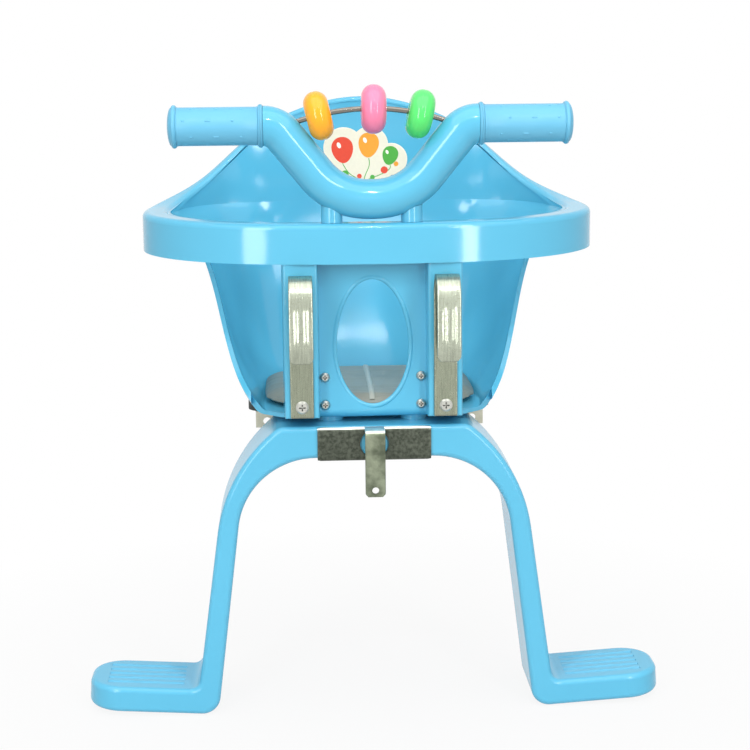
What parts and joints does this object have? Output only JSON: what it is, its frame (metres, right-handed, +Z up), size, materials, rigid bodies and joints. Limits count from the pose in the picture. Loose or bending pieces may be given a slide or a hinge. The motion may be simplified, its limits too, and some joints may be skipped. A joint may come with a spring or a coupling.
{
  "type": "child bike seat",
  "caption": "Front-mounted bucket seat for a small child, hung by steel hooks on a bicycle's handlebar, with a toy handlebar, play beads and a footrest frame.",
  "frame": {"origin": "on the axis of the bicycle's handlebar that lies in the two hooks, midway between the hooks", "axes": "+X to the right seen from the front, along the handlebar in the hooks; +Y from the front towards the seat's back; +Z up"},
  "size_m": [0.4484, 0.2352, 0.482],
  "materials": {
    "blue_plastic": "moulded, glossy",
    "grey_vinyl": "soft vinyl over foam",
    "printed_film": "printed film",
    "chromed_wire": "bright chrome",
    "orange_plastic": "glossy",
    "pink_plastic": "glossy",
    "green_plastic": "glossy",
    "zinc_plate": "zinc plated, satin",
    "bright_steel": "bright zinc",
    "black_rubber": "matte"
  },
  "bodies": {
    "seat": {"seat_shell": "blue_plastic", "handlebar": "blue_plastic", "grip_left": "blue_plastic", "grip_right": "blue_plastic", "bar_post_left": "blue_plastic", "bar_post_right": "blue_plastic", "footrest_frame": "blue_plastic", "seat_pad": "grey_vinyl", "back_decal": "printed_film", "bead_wire": "chromed_wire", "hook_left": "zinc_plate", "hook_right": "zinc_plate", "hook_screws": "bright_steel", "hook_nuts": "bright_steel", "backing_plate_left": "zinc_plate", "backing_plate_right": "zinc_plate", "panel_screws": "bright_steel", "panel_nuts": "bright_steel", "bar_screws": "bright_steel", "stem_bracket": "zinc_plate", "seat_bolts": "bright_steel", "seat_nuts": "bright_steel", "rest_bar": "zinc_plate", "rest_pad": "black_rubber", "rest_bolts": "bright_steel", "rest_nuts": "bright_steel"},
    "bead_orange": {"bead_orange": "orange_plastic"},
    "bead_pink": {"bead_pink": "pink_plastic"},
    "bead_green": {"bead_green": "green_plastic"}
  },
  "joints": [
    {"name": "bead_orange_spin", "type": "hinge", "parent": "seat", "child": "bead_orange", "pos_m": [-0.03841, 0.024, 0.13137], "axis": [0.9737, 0, 0.2278], "continuous": true},
    {"name": "bead_pink_spin", "type": "hinge", "parent": "seat", "child": "bead_pink", "pos_m": [0.002, 0.024, 0.13579], "axis": [0.9999, 0, -0.0118], "continuous": true},
    {"name": "bead_green_spin", "type": "hinge", "parent": "seat", "child": "bead_green", "pos_m": [0.03641, 0.024, 0.13182], "axis": [0.9764, 0, -0.216], "continuous": true}
  ]
}
